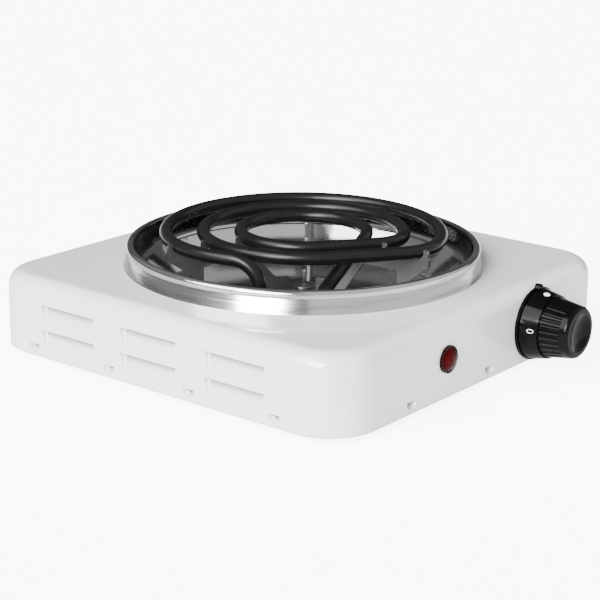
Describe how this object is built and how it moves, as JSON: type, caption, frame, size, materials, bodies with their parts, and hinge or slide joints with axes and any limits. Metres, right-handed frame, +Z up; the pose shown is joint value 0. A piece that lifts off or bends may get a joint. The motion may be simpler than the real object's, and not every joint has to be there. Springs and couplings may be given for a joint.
{
  "type": "electric hot plate",
  "caption": "Square white pressed-steel electric hot plate with a chrome ring, reflector pan, exposed spiral heating coil, front thermostat knob and red lamp.",
  "frame": {"origin": "on the floor, under the middle of the overall box", "axes": "+Z up, the knob and lamp face -Y, +X to the right seen from the front"},
  "size_m": [0.225, 0.249, 0.0601],
  "materials": {
    "white_enamel": "gloss white enamel",
    "tray_steel": "galvanised sheet",
    "chrome": "polished",
    "reflector": "bright pressed sheet",
    "coil_sheath": "satin dark alloy sheath",
    "support_steel": "satin",
    "bright_steel": "plated",
    "brass": "plain",
    "ceramic": "unglazed",
    "black_plastic": "gloss",
    "inner_plastic": "matte",
    "red_lens": "clear red",
    "neon_glass": "clear",
    "rubber": "matte",
    "lead_insulation": "glass-braid sleeve"
  },
  "bodies": {
    "base": {"arm_pivot_pin": "bright_steel", "base_tray": "tray_steel", "body_shell": "white_enamel", "coil_lead": "lead_insulation", "cord_grommet": "rubber", "drip_pan": "reflector", "fixed_contact": "brass", "foot_front_left": "rubber", "foot_front_right": "rubber", "foot_rear_left": "rubber", "foot_rear_right": "rubber", "heating_coil": "coil_sheath", "hub_nut": "support_steel", "hub_screw": "support_steel", "inner_leg_bush": "ceramic", "inner_leg_pin": "bright_steel", "knob_bezel": "black_plastic", "lamp_clip": "bright_steel", "lamp_coil_lead": "lead_insulation", "lamp_holder": "inner_plastic", "lamp_lens": "red_lens", "lamp_neutral_lead": "lead_insulation", "line_lead": "lead_insulation", "neon_bulb": "neon_glass", "neutral_lead": "lead_insulation", "outer_leg_bush": "ceramic", "outer_leg_pin": "bright_steel", "support_arm_left": "support_steel", "support_arm_rear": "support_steel", "support_arm_right": "support_steel", "support_hub": "support_steel", "thermostat_base": "ceramic", "thermostat_bracket": "bright_steel", "thermostat_screws": "bright_steel", "thermostat_tabs": "brass", "trim_ring": "chrome"},
    "knob": {"control_knob": "black_plastic", "thermostat_spindle": "brass", "spindle_circlip": "bright_steel", "control_cam": "inner_plastic"},
    "contact": {"contact_arm": "brass"}
  },
  "joints": [
    {"name": "knob_turn", "type": "hinge", "parent": "base", "child": "knob", "pos_m": [0.0433, -0.0989, 0.0214], "axis": [0, 1, 0], "range_deg": [0, 270]},
    {"name": "contact_swing", "type": "hinge", "parent": "base", "child": "contact", "pos_m": [0.0333, -0.0894, 0.0288], "axis": [0, 1, 0], "range_deg": [0, 12]}
  ],
  "couplings": [
    {"joint": "contact_swing", "follows": "knob_turn", "ratio": 0.0433}
  ]
}
